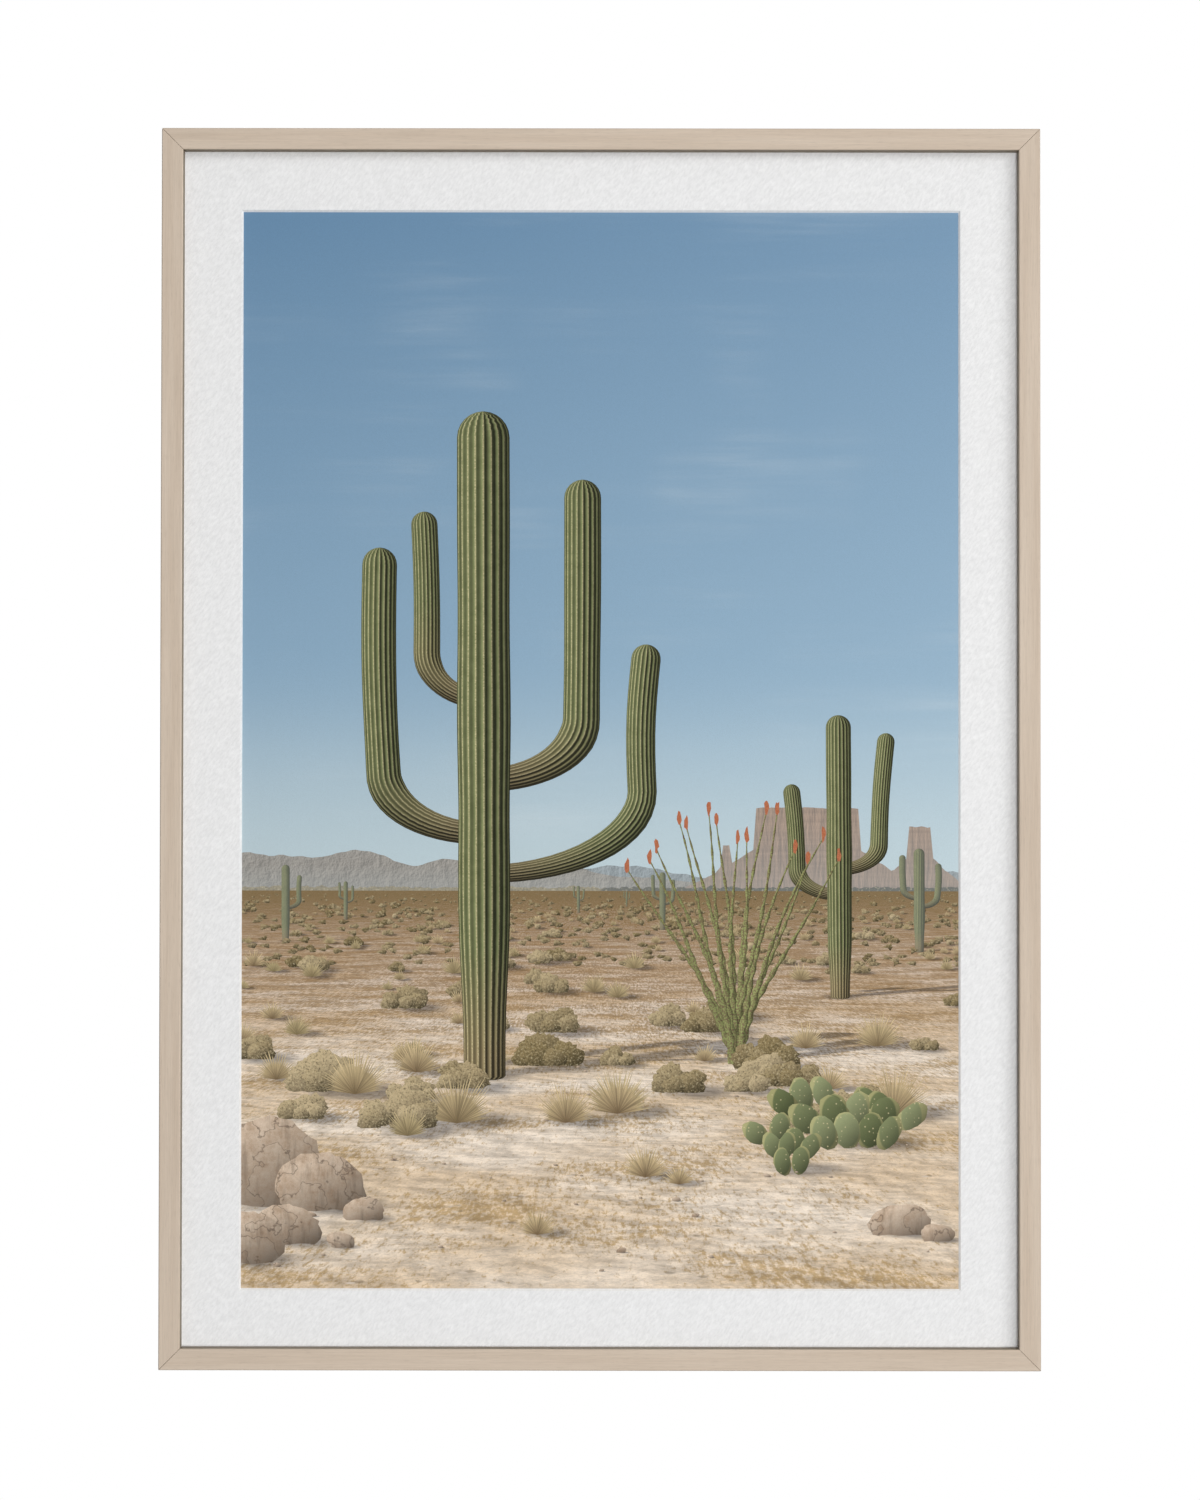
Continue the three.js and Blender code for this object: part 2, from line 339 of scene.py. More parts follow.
def lay_box(ink, left, bottom, right, top):
    """Lays an upright rectangle."""
    corners = [(left, bottom), (right, bottom), (right, top), (left, top)]
    lay(ink, corners, [(0, 0, 0, 0)] * 4, [(0, 1, 2), (0, 2, 3)])


def lay_ridge(ink, step, height_at, tone):
    """Lays the outline of far land along the horizon. Its second value is the height."""
    count = int(PICTURE_WIDTH / step)
    lefts = [-PICTURE_SIDE + step * i for i in range(count + 1)]
    rows = [[Vector((x, HORIZON)) for x in lefts], [Vector((x, HORIZON + height_at(x))) for x in lefts]]
    values = [[(x, 0, tone, 0) for x in lefts], [(x, height_at(x), tone, 0) for x in lefts]]
    lay_rows(ink, rows, values)


def far_range(x):
    return 15 + 9 * noise.noise((x / 70, 1.3, 0)) + 3 * noise.noise((x / 16, 5.2, 0))


def near_range(x):
    slope = max(0.0, min(1.0, (110 - x) / 260))
    return 5 + 28 * slope * (0.8 + 0.5 * noise.noise((x / 45, 8.1, 0))) + 1.6 * noise.noise((x / 9, 2.7, 0))


def table_rocks(x):
    rock = 0.0
    for middle, half_top, foot, top in ((172, 44, 62, 68), (266, 11, 34, 52), (104, 4, 20, 37)):
        out = (abs(x - middle) - half_top) / foot
        rock = max(rock, top if out < 0 else top * 0.5 * max(0.0, 1 - out) ** 1.3)
    return rock + 1.6 * noise.noise((x / 6, 3.3, 0)) + 0.8 * noise.noise((x / 2.5, 9.1, 0)) + 1.5


def far_scrub(x):
    return 3 + 1.6 * noise.noise((x / 5, 4.4, 0)) + 1.2 * noise.noise((x / 1.7, 6.6, 0))


lay_box("paper", -sheet_size.x / 2, -sheet_size.z / 2, sheet_size.x / 2, sheet_size.z / 2)
paper_faces = len(faces)
lay_box("sky", -PICTURE_SIDE, HORIZON, PICTURE_SIDE, PICTURE_TOP)
lay_box("sand", -PICTURE_SIDE, -PICTURE_TOP, PICTURE_SIDE, HORIZON)
open_faces = len(faces)
lay_ridge("hills", 6, far_range, 0.0)
lay_ridge("hills", 4, near_range, 0.6)
lay_ridge("cliffs", 2.5, table_rocks, 0.0)
lay_ridge("far_scrub", 2, far_scrub, 0.0)


def scale_at(height):
    """Millimetres on the print for each metre, for something that stands on the ground at this height."""
    return (HORIZON - height) / EYE_HEIGHT


def on_print(right, away):
    """The place on the print of a spot on the ground, in metres from the foot of the pictured camera."""
    return Vector((right * PICTURE_LENS / away, HORIZON - EYE_HEIGHT * PICTURE_LENS / away))


def lay_limb(ink, spine, radii, shades, unit=1.0, columns=2, ragged=0.0):
    """Lays a round limb seen from the side. Its values are the place across it, the length along it,
    how far its right edge faces the sun, and its shade."""
    rows, values = [], []
    length = 0.0
    for i, (centre, radius) in enumerate(zip(spine, radii)):
        before, after = spine[max(i - 1, 0)], spine[min(i + 1, len(spine) - 1)]
        along = (after - before).normalized()
        across = Vector((along.y, -along.x))
        length += (centre - before).length
        sunny = across.x * SUN.x + across.y * SUN.y
        reach = radius * (1 + ragged * (i % 2))
        sides = [2 * column / columns - 1 for column in range(columns + 1)]
        rows.append([centre + across * reach * side for side in sides])
        values.append([(side, length * unit, sunny, shades[i]) for side in sides])
    lay_rows(ink, rows, values)


def lay_limb_shadow(root, spine, radii):
    """Lays the soft shadow that a standing limb casts along the ground."""
    scale = scale_at(root.y)
    right, away = root.x / scale, PICTURE_LENS / scale
    rows, values = [], []
    stride = max(1, len(spine) // SHADOW_ROWS)
    for centre, radius in list(zip(spine, radii))[::stride]:
        beside, above = (centre - root) / scale
        spot = Vector((right + beside + SHADOW_RIGHT * above, away + SHADOW_AWAY * above))
        edge = Vector((-SHADOW_AWAY, SHADOW_RIGHT)) * 1.5 * radius / scale
        rows.append([on_print(*(spot - edge)), on_print(*spot), on_print(*(spot + edge))])
        values.append([(0, 0, 0, shade) for shade in (0, LIMB_SHADE, 0)])
    lay_rows(SHADOW, rows, values)


def lay_soft_shadow(centre, half_width, half_height):
    """Lays a patch of shade that is dark in the middle and fades out to its rim."""
    angles = [2 * math.pi * i / SHADOW_POINTS for i in range(SHADOW_POINTS)]
    rim = [centre + Vector((half_width * math.cos(a), half_height * math.sin(a))) for a in angles]
    triangles = [(0, 1 + i, 1 + (i + 1) % SHADOW_POINTS) for i in range(SHADOW_POINTS)]
    lay(SHADOW, [centre] + rim, [(0, 0, 0, FOOT_SHADE)] + [(0, 0, 0, 0)] * SHADOW_POINTS, triangles)


def lay_ball(ink, centre, half_width, half_height, tone, points, rough, tilt=0.0, ground=-PICTURE_HEIGHT):
    """Lays a rounded shape with a rough rim, flattened where it would sink into the ground."""
    rim = []
    swell, turned = rough * dice.uniform(0.5, 1.2), dice.uniform(0, 6)
    for i in range(points):
        angle = 2 * math.pi * (i + dice.uniform(-0.3, 0.3)) / points
        reach = 1 + dice.uniform(-rough, rough) + swell * math.sin(3 * angle + turned)
        spot = Vector((half_width * reach * math.cos(angle), half_height * reach * math.sin(angle)))
        spot = centre + Matrix.Rotation(-tilt, 2) @ spot
        spot.y = max(spot.y, ground + 0.03 * half_height * math.sin(5 * i))
        rim.append(spot)
    lay_outline(ink, rim, centre, half_width, half_height, tone)


def lay_grass(root, size, tone):
    """Lays a fan of blades that spread from one root."""
    lay_soft_shadow(root + Vector((0.45 * size, 0.04 * size)), 1.0 * size, 0.22 * size)
    blades = int(5 + size / 1.1)
    outline = [root]
    low, high = 0.05 * math.pi, 0.95 * math.pi
    step = (high - low) / (2 * blades)
    for i in range(2 * blades + 1):
        angle = low + step * (i + dice.uniform(-0.4, 0.4))
        reach = size * (0.6 + 0.4 * math.sin(angle)) * (dice.uniform(0.7, 1.05) if i % 2 else 0.5)
        outline.append(root + Vector((1.1 * reach * math.cos(angle), reach * math.sin(angle))))
    lay_outline("grass", outline, root, size, size, tone)


def lay_bush(root, size, tone):
    """Lays a low bush: rounded heads of twigs that rise to a dome, the lower ones in front."""
    lay_soft_shadow(root + Vector((0.5 * size, 0.02 * size)), 1.2 * size, 0.26 * size)
    heads = [(dice.uniform(-0.2, 0.2), 0.36, 0.46)]
    if size > 6:
        heads += [(dice.uniform(-0.55, -0.35), 0.28, 0.34), (dice.uniform(0.3, 0.55), 0.26, 0.34)]
    if size > 12:
        heads += [(dice.uniform(-0.3, 0.3), 0.22, 0.3), (dice.uniform(-0.7, 0.7), 0.16, 0.24)]
    for aside, above, part in heads:
        centre = root + Vector((aside, above * dice.uniform(0.85, 1.1))) * size
        part *= size * dice.uniform(0.85, 1.1)
        shade = max(0.0, min(1.0, tone + dice.uniform(-0.2, 0.2)))
        lay_ball("scrub", centre, 1.15 * part, part, shade, int(8 + 2.6 * part), 0.14, 0, root.y)


def lay_speck(root, size, tone):
    """Lays a bush so far off that it is only a spot."""
    lay_ball("scrub", root + Vector((0, 0.4 * size)), 0.9 * size, 0.5 * size, 0.6 * tone, 6, 0.3)


def lay_boulder(root, half_width, half_height, points=34):
    """Lays a rounded rock that is sunk a little into the ground."""
    beside = root + Vector((0.5 * half_width, 0.1 * half_height))
    lay_soft_shadow(beside, 1.3 * half_width, 0.35 * half_height)
    centre = root + Vector((0, 0.6 * half_height))
    tilt = dice.uniform(-0.35, 0.35)
    lay_ball("granite", centre, half_width, half_height, dice.random(), points, 0.05, tilt, root.y)


def with_dome(spine, radius):
    """Rounds a limb's tip: closer points near the end, and radii that follow a half circle. The limb
    swells and narrows a little along its length."""
    tip = spine[-1]
    along = (tip - spine[-2]).normalized()
    start = dice.uniform(0, 9)
    radii = [radius * (1 + 0.05 * math.sin(start + 0.5 * i) * (len(spine) - 1 - i) / len(spine))
             for i in range(len(spine))]
    for i in range(1, DOME_STEPS + 1):
        turn = math.pi / 2 * i / DOME_STEPS
        spine = spine + [tip + along * radius * math.sin(turn)]
        radii.append(radius * max(math.cos(turn), 0.04))
    return spine, radii


def arm_spine(start, reach, rise, top, step):
    """An arm: out of the trunk, round an upturned bend, and straight up to its tip."""
    spine = []
    for i in range(BEND_STEPS + 1):
        turn = math.pi / 2 * i / BEND_STEPS
        spine.append(start + Vector((reach * math.sin(turn), rise * (1 - math.cos(turn)))))
    length = top - spine[-1].y
    count = max(2, int(length / step))
    lean, bow = dice.uniform(-0.04, 0.07), dice.uniform(-0.03, 0.03)
    for i in range(1, count + 1):
        up = i / count
        aside = math.copysign(lean * up, reach) + bow * math.sin(math.pi * up)
        spine.append(start + Vector((reach + aside * length, rise + length * up)))
    return spine


def lay_column_cactus(ink, root, height, radius, arms):
    """A ribbed column with arms. Each arm is given in parts of the height: where it starts, how far
    out it reaches and where it ends, and then its thickness beside the trunk's."""
    step = max(3.0, height / 40)
    count = int((height - radius) / step)
    lean = dice.uniform(-0.012, 0.012)
    trunk, radii = with_dome([root + Vector((lean * step * i, step * i)) for i in range(count + 1)], radius)
    radii = [r * (0.8 + 0.2 * min(1.0, i / (0.35 * count))) for i, r in enumerate(radii)]
    trunk = [root - Vector((0, 0.16 * radius)), root - Vector((0, 0.1 * radius))] + trunk
    radii = [0.42 * radius, 0.68 * radius] + radii
    limbs = []
    for start, reach, top, thick in arms:
        base = root + Vector((lean * height * start, height * start))
        rise = height * (0.04 + 0.35 * abs(reach))
        spine = arm_spine(base, height * reach, rise, root.y + height * top, step)
        spine, limb_radii = with_dome(spine, radius * thick)
        limbs.append((spine, [r * min(1.0, 0.6 + 0.5 * i / BEND_STEPS) for i, r in enumerate(limb_radii)]))
    for spine, limb_radii in [(trunk, radii)] + limbs:
        lay_limb_shadow(root, spine, limb_radii)
    lay_soft_shadow(root, 1.9 * radius, 0.3 * radius)
    unit = TALLEST_CACTUS / height
    for spine, limb_radii in limbs:
        shades = [max(0.0, 0.8 * (1 - i / BEND_STEPS)) for i in range(len(spine))]
        lay_limb(ink, spine, limb_radii, shades, unit)
    lay_limb(ink, trunk, radii, [max(0.0, 0.7 - 0.2 * i) for i in range(len(trunk))], unit)


def lay_wand_shrub(root, height, wands):
    """Long thorny wands that spread like a vase, leafy after rain, with blossom at the tips."""
    order = sorted(range(wands), key=lambda i: dice.random())
    for i in order:
        lean = (i / (wands - 1) - 0.5) * 2
        tall = height * dice.uniform(0.76, 1.0) * (1 - 0.18 * lean * lean)
        spine = []
        for j in range(WAND_POINTS):
            up = j / (WAND_POINTS - 1)
            side = 0.36 * height * lean * up ** 1.25 + 0.014 * height * math.sin(5 * up + 3 * i)
            spine.append(root + Vector((side, tall * up)))
        radii = [height * 0.0075 * (1.15 - j / WAND_POINTS) for j in range(WAND_POINTS)]
        if i % 3 == 0:
            lay_limb_shadow(root, spine, radii)
        lay_limb("wand", spine, radii, [0.0] * WAND_POINTS, columns=1, ragged=0.9)
        lay_ball("blossom", spine[-1] + Vector((0, 3)), 1.9, 6.0, dice.random(), 9, 0.2)


def lay_pad_cactus(root, size, pads):
    """Flat oval pads that grow one on another."""
    lay_soft_shadow(root + Vector((0.8 * size, 0.1 * size)), 2.0 * size, 0.36 * size)
    rooted = 1 + pads // 5
    grown = []
    for number in range(rooted):
        aside = 0.72 * (number - (rooted - 1) / 2) + dice.uniform(-0.1, 0.1)
        grown.append((root + Vector((aside, dice.uniform(0.42, 0.52))) * size, 0.5 * aside))
    for number in range(rooted, pads):
        base, tilt = grown[(number - rooted) // 2]
        turn = max(-0.95, min(0.95, 0.7 * tilt + (-1, 1)[number % 2] * dice.uniform(0.3, 0.8)))
        reach = 0.9 * size * dice.uniform(0.75, 1)
        grown.append((base + Vector((math.sin(turn), math.cos(turn))) * reach, turn))
    for centre, tilt in sorted(grown, key=lambda pad: -pad[0].y):
        lay_ball("pads", centre, size * dice.uniform(0.34, 0.44), size * 0.6, dice.random(), 16, 0.03, tilt)


standing = []
for _ in range(SPECKS):
    spot = Vector((dice.uniform(-0.5, 0.5) * PICTURE_WIDTH, HORIZON - 3 - 60 * dice.random() ** 2))
    size = min(4.5, dice.uniform(0.2, 0.5) * scale_at(spot.y))
    standing.append((spot.y, lay_speck, (spot, size, dice.random())))
for _ in range(LOW_PLANTS):
    away = 10 + 130 * dice.random() ** 1.4
    spot = on_print(dice.uniform(-0.5, 0.5) * PICTURE_WIDTH * away / PICTURE_LENS, away)
    size = dice.uniform(0.16, 0.4) * scale_at(spot.y)
    kind = lay_grass if dice.random() < 0.55 else lay_bush
    standing.append((spot.y, kind, (spot, size, dice.random())))
for x, z, height in (
    (-262, -160, 66), (-212, -142, 34), (52, -150, 50), (-18, -136, 24), (266, -168, 88), (22, -131, 14),
):
    arms = [(0.42, 0.17, 0.8, 0.6), (0.5, -0.15, 0.88, 0.6)][:dice.choice((1, 2, 2))]
    standing.append((z, lay_column_cactus, ("far_cactus", Vector((x, z)), height, height * 0.052, arms)))
standing.append((-206, lay_column_cactus, ("cactus", Vector((200, -206)), 236, 10.5, [
    (0.36, -0.15, 0.72, 0.68), (0.45, 0.14, 0.9, 0.7),
])))
standing.append((-272, lay_column_cactus, ("cactus", Vector((-96, -272)), TALLEST_CACTUS, 22, [
    (0.3, 0.235, 0.62, 0.56), (0.36, -0.15, 0.76, 0.66), (0.44, 0.145, 0.86, 0.7), (0.56, -0.085, 0.82, 0.5),
])))
for x, z, size in ((38, -356, 30), (-52, -404, 24), (66, -362, 19), (-160, -322, 26)):
    standing.append((z, lay_grass, (Vector((x, z)), size, dice.random())))
standing.append((-262, lay_wand_shrub, (Vector((112, -262)), 240, 15)))
standing.append((-330, lay_pad_cactus, (Vector((214, -330)), 26, 15)))
standing.append((-352, lay_pad_cactus, (Vector((160, -352)), 20, 8)))
for x, z, half_wide, half_tall in (
    (-282, -380, 52, 46), (-232, -384, 38, 30), (-196, -392, 17, 12), (-262, -412, 30, 20),
    (-215, -415, 12, 8), (-296, -428, 34, 26), (250, -404, 26, 16), (281, -409, 14, 9),
):
    standing.append((z, lay_boulder, (Vector((x, z)), half_wide, half_tall)))
for _ in range(STONES):
    spot = Vector((dice.uniform(-290, 290), -200 - 240 * dice.random()))
    stone = dice.uniform(0.012, 0.03) * scale_at(spot.y) * dice.uniform(0.3, 1)
    standing.append((spot.y, lay_boulder, (spot, stone, 0.6 * stone, 7)))
for _, lay_it, details in sorted(standing, key=lambda item: -item[0]):
    lay_it(*details)


# The inks: each paints its own kind of shape in the light of the picture's sun
HAZE = colour("B9C3C4")


def start_ink(name):
    # Pigment ink on cotton paper: deep matt colour with a faint tooth and no gloss
    material, add, shader = start_material(name, Roughness=0.7, Specular_IOR_Level=0.2)
    per_mm = (1 / MM,) * 3
    place = add("Mapping", add("TexCoord", output="Object"), tuple(-sheet_middle / MM), None, per_mm)
    ink = add("Attribute", output="Vector", attribute_name="ink")
    split, spread = add("SeparateXYZ", place).node.outputs, add("SeparateXYZ", ink).node.outputs
    shade = add("Attribute", output="Alpha", attribute_name="ink")
    seen = {"place": place, "x": split["X"], "z": split["Z"], "ink": ink, "across": spread["X"],
            "along": spread["Y"], "tone": spread["Z"], "shade": shade}
    return material, add, shader, seen


def dry_ink(material, add, shader, seen, picture):
    """Lays the cast shadows and the paper's tooth over the picture's colour."""
    shaded = add("VectorMath", picture, colour("8E94A0")[:3], operation="MULTIPLY")
    dark = add("MapRange", seen["shade"], 0.0, 1.0, 0.0, 0.75)
    picture = add("Mix", dark, picture, shaded, data_type="RGBA")
    tooth = add("MapRange", add("TexNoise", seen["place"], 1.1, 2.0, 0.6), 0.3, 0.7, 0.965, 1.035)
    picture = add("VectorMath", picture, named={"Scale": tooth}, operation="SCALE")
    return finish(material, shader, Base_Color=picture)


def slope_light(add, place, stretch, nudge, detail, roughness, steepest, darkness, brightness):
    """How bright uneven land is: its noise less the same noise a small step away gives the slope."""
    heights = [add("TexNoise", add("Mapping", place, step, None, stretch), 1.0, detail, roughness)
               for step in (None, nudge)]
    relief = add("Math", *heights, operation="SUBTRACT")
    return add("MapRange", relief, -steepest, steepest, darkness, brightness)


def flat_distance(add, place):
    """How far a place lies from the origin, whatever its third part is."""
    flat = add("VectorMath", place, (1, 1, 0), operation="MULTIPLY")
    return add("VectorMath", flat, operation="LENGTH", output="Value")


def sky_ink():
    # A clear dry sky: pale at the horizon, deep blue overhead, a little paler toward the right, with
    # thin combed-out high cloud
    material, add, shader, seen = start_ink("sky_ink")
    low_sky = add("MapRange", seen["z"], float(HORIZON), 90.0, 0.0, 1.0, interpolation_type="SMOOTHSTEP")
    high_sky = add("MapRange", seen["z"], 0.0, PICTURE_TOP, 0.0, 1.0)
    sky = add("Mix", low_sky, colour("BFD0D6"), colour("94B2C8"), data_type="RGBA")
    sky = add("Mix", high_sky, sky, colour("6A8EAE"), data_type="RGBA")
    streaks = add("Mapping", seen["place"], None, (0, math.radians(16), 0), (1 / 520, 1, 1 / 34))
    cloud = add("TexNoise", streaks, 1.0, 6.0, 0.62)
    veil = add("TexNoise", seen["place"], 1 / 190, 2.0, 0.5)
    cloud = add("MapRange", cloud, 0.46, 0.9, 0.0, 0.4, interpolation_type="SMOOTHSTEP")
    veil = add("MapRange", veil, 0.42, 0.66, 0.0, 1.0, interpolation_type="SMOOTHSTEP")
    cover = add("Math", cloud, veil, operation="MULTIPLY")
    sky = add("Mix", cover, sky, colour("D9E1E4"), data_type="RGBA")
    glare = add("MapRange", seen["x"], -PICTURE_SIDE, PICTURE_SIDE, 0.0, 0.11)
    sky = add("Mix", glare, sky, colour("BFD0D6"), data_type="RGBA")
    side = add("MapRange", seen["x"], -PICTURE_SIDE, PICTURE_SIDE, 1.02, 1.11)
    sky = add("VectorMath", sky, named={"Scale": side}, operation="SCALE")
    return dry_ink(material, add, shader, seen, sky)


def hill_ink():
    # Far bare hills in haze: gullied slopes, blue-grey behind and warmer in front
    material, add, shader, seen = start_ink("hill_ink")
    lit = slope_light(add, seen["place"], (0.1, 1, 0.08), (0.08, 0, -0.04), 6.0, 0.72, 0.07, 0.62, 1.25)
    hills = add("Mix", seen["tone"], colour("9AA3A8"), colour("A3927F"), data_type="RGBA")
    hills = add("VectorMath", hills, named={"Scale": lit}, operation="SCALE")
    haze = add("MapRange", seen["along"], 0.0, 22.0, 0.35, 0.12)
    hills = add("Mix", haze, hills, HAZE, data_type="RGBA")
    return dry_ink(material, add, shader, seen, hills)


def cliff_ink():
    # Flat-topped sandstone: level beds, upright cracks, and slopes of fallen stone below
    material, add, shader, seen = start_ink("cliff_ink")
    lit = slope_light(add, seen["place"], (0.32, 1, 0.045), (0.2, 0, 0), 4.0, 0.6, 0.12, 0.6, 1.25)
    beds = add("TexNoise", add("Mapping", seen["place"], None, None, (0.008, 1, 0.35)), 1.0, 3.0, 0.55)
    rock = add("Mix", beds, colour("8F7460"), colour("C09F86"), data_type="RGBA")
    rock = add("VectorMath", rock, named={"Scale": lit}, operation="SCALE")
    haze = add("MapRange", seen["along"], 0.0, 60.0, 0.42, 0.24)
    rock = add("Mix", haze, rock, colour("AEB9BC"), data_type="RGBA")
    return dry_ink(material, add, shader, seen, rock)


def upright_noise(add, right, scale, size, detail, roughness):
    """A noise whose grains stand upright on the ground and shrink with distance."""
    depth = add("Math", add("Math", scale, math.e, operation="LOGARITHM"), EYE_HEIGHT, operation="MULTIPLY")
    return add("TexNoise", add("CombineXYZ", right, depth), size, detail, roughness)


def sand_ink():
    # Pale coarse sand seen in perspective, browner far off: straw-coloured patches, low lumps lit from
    # the left, scattered small stones, and low scrub that closes up toward the horizon
    material, add, shader, seen = start_ink("sand_ink")
    drop = add("Math", float(HORIZON), seen["z"], operation="SUBTRACT")
    scale = add("Math", add("Math", drop, EYE_HEIGHT, operation="DIVIDE"), 0.7, operation="MAXIMUM")
    right = add("Math", seen["x"], scale, operation="DIVIDE")
    away = add("Math", float(PICTURE_LENS), scale, operation="DIVIDE")
    ground = add("CombineXYZ", right, away)
    patches = add("TexNoise", ground, 0.38, 5.0, 0.6)
    lit = slope_light(add, ground, (3.2, 3.2, 3.2), (-0.16, -0.16, 0), 6.0, 0.68, 0.12, 0.74, 1.2)
    grit = add("MapRange", add("TexNoise", ground, 42.0, 6.0, 0.85), 0.34, 0.66, 0.82, 1.14)
    lit = add("Math", lit, grit, operation="MULTIPLY")
    sand = add("MapRange", patches, 0.4, 0.6, 0.0, 1.0, interpolation_type="SMOOTHSTEP")
    sand = add("Mix", sand, colour("DDC7AB"), colour("EEE0CF"), data_type="RGBA")
    litter = upright_noise(add, right, scale, 34.0, 4.0, 0.8)
    strewn = add("MapRange", add("TexNoise", ground, 0.9, 4.0, 0.6), 0.42, 0.66, 0.0, 0.16)
    litter = add("Math", litter, strewn, operation="ADD")
    litter = add("Math", litter, add("MapRange", scale, 8.0, 100.0, 0.15, 0.0), operation="ADD")
    litter = add("MapRange", litter, 0.56, 0.68, 0.0, 0.75)
    bleached = add("MapRange", scale, 10.0, 120.0, 0.0, 1.0)
    straw = add("Mix", bleached, colour("8E7044"), colour("B2935F"), data_type="RGBA")
    sand = add("Mix", litter, sand, straw, data_type="RGBA")
    sand = add("VectorMath", sand, named={"Scale": lit}, operation="SCALE")
    leaf = upright_noise(add, right, scale, 9.0, 4.0, 0.75)
    cover = add("Math", leaf, add("MapRange", scale, 2.0, 42.0, 0.4, 0.72), operation="SUBTRACT")
    cover = add("MapRange", cover, 0.0, 0.08, 0.0, 1.0)
    leaf = add("MapRange", leaf, 0.4, 0.66, 0.0, 1.0)
    leaf = add("Mix", leaf, colour("5A4C2E"), colour("A28655"), data_type="RGBA")
    sand = add("Mix", cover, sand, leaf, data_type="RGBA")
    drawn = add("SeparateXYZ", add("TexVoronoi", ground, 7.0, output="Color"))
    few = add("Math", drawn, 0.72, operation="GREATER_THAN")
    cast = add("TexVoronoi", add("VectorMath", ground, (-0.03, -0.02, 0), operation="ADD"), 7.0)
    under = add("Math", add("MapRange", cast, 0.12, 0.2, 0.45, 0.0), few, operation="MULTIPLY")
    sand = add("Mix", under, sand, colour("6F6353"), data_type="RGBA")
    stone = add("MapRange", add("TexVoronoi", ground, 7.0), 0.1, 0.16, 1.0, 0.0)
    sand = add("Mix", add("Math", stone, few, operation="MULTIPLY"), sand, colour("D8C9B8"), data_type="RGBA")
    haze = add("MapRange", scale, 1.0, 22.0, 0.3, 0.0)
    sand = add("Mix", haze, sand, colour("A59775"), data_type="RGBA")
    near = add("MapRange", scale, 45.0, 90.0, 0.0, 1.0)
    browned = add("Mix", near, colour("EDE6E1"), colour("FFFFFF"), data_type="RGBA")
    sand = add("VectorMath", sand, browned, operation="MULTIPLY")
    return dry_ink(material, add, shader, seen, sand)


def lit_by_sun(add, facing, seen, darkness, brightness):
    """How bright a round limb is where its surface turns by the angle facing from the viewer."""
    sideways = add("Math", add("Math", facing, operation="SINE"), seen["tone"], operation="MULTIPLY")
    forwards = add("Math", facing, operation="COSINE")
    sun = add("Math", forwards, SUN.z, sideways, operation="MULTIPLY_ADD")
    return add("MapRange", sun, 0.0, 0.72, darkness, brightness)


def cactus_ink(name, haze):
    # A ribbed green skin: each rib bright on its sunny side, dark in the furrows, with a line of
    # straw-coloured spines along its crest, and corky brown near the ground
    material, add, shader, seen = start_ink(name)
    turned = add("Math", seen["across"], operation="ARCSINE")
    rib = add("Math", turned, 2.0 * RIBS, operation="MULTIPLY")
    facing = add("Math", add("Math", rib, operation="SINE"), 0.75, turned, operation="MULTIPLY_ADD")
    lit = lit_by_sun(add, facing, seen, 0.15, 1.25)
    crest = add("Math", rib, operation="COSINE")
    furrow = add("MapRange", crest, -1.0, 0.3, 0.5, 1.0)
    lit = add("Math", lit, furrow, operation="MULTIPLY")
    blotches = add("TexNoise", seen["place"], 0.09, 4.0, 0.6)
    skin = add("Mix", blotches, colour("646D45"), colour("969B6E"), data_type="RGBA")
    corky = add("MapRange", seen["along"], 20.0, 110.0, 0.75, 0.0)
    skin = add("Mix", corky, skin, colour("A08A68"), data_type="RGBA")
    skin = add("VectorMath", skin, named={"Scale": lit}, operation="SCALE")
    tufts = add("TexNoise", add("CombineXYZ", rib, seen["along"]), 0.62, 3.0, 0.8)
    tufts = add("MapRange", tufts, 0.4, 0.62, 0.15, 0.9)
    spines = add("Math", add("MapRange", crest, 0.72, 1.0, 0.0, 1.0), tufts, operation="MULTIPLY")
    straw = add("VectorMath", colour("E2D3A6")[:3], named={"Scale": lit}, operation="SCALE")
    skin = add("Mix", spines, skin, straw, data_type="RGBA")
    skin = add("Mix", haze, skin, HAZE, data_type="RGBA")
    return dry_ink(material, add, shader, seen, skin)


def grass_ink():
    # Dry bunch grass: thin straw blades, brown at the root and bleached at the tip
    material, add, shader, seen = start_ink("grass_ink")
    angle = add("Math", seen["along"], seen["across"], operation="ARCTAN2")
    blades = add("VectorMath", add("CombineXYZ", angle, seen["along"], seen["tone"]), (16, 1.4, 90),
                 operation="MULTIPLY")
    lit = add("MapRange", add("TexNoise", blades, 1.0, 2.0, 0.6), 0.34, 0.66, 0.62, 1.22)
    tip = add("MapRange", flat_distance(add, seen["ink"]), 0.0, 0.8, 0.0, 1.0)
    grass = add("Mix", tip, colour("756046"), colour("DCC69A"), data_type="RGBA")
    green = add("MapRange", seen["tone"], 0.3, 1.0, 0.0, 0.4)
    grass = add("Mix", green, grass, colour("9A9468"), data_type="RGBA")
    grass = add("VectorMath", grass, named={"Scale": lit}, operation="SCALE")
    return dry_ink(material, add, shader, seen, grass)


def disc_light(add, seen, bumps, darkness, brightness):
    """How bright a round thing is at its place on the disc, roughened by bumps."""
    rough = add("CombineXYZ", bumps, bumps)
    turned = add("VectorMath", add("VectorMath", seen["ink"], rough, operation="ADD"), (SUN.x, SUN.y, 0),
                 operation="DOT_PRODUCT", output="Value")
    return add("MapRange", turned, -0.72, 0.68, darkness, brightness)


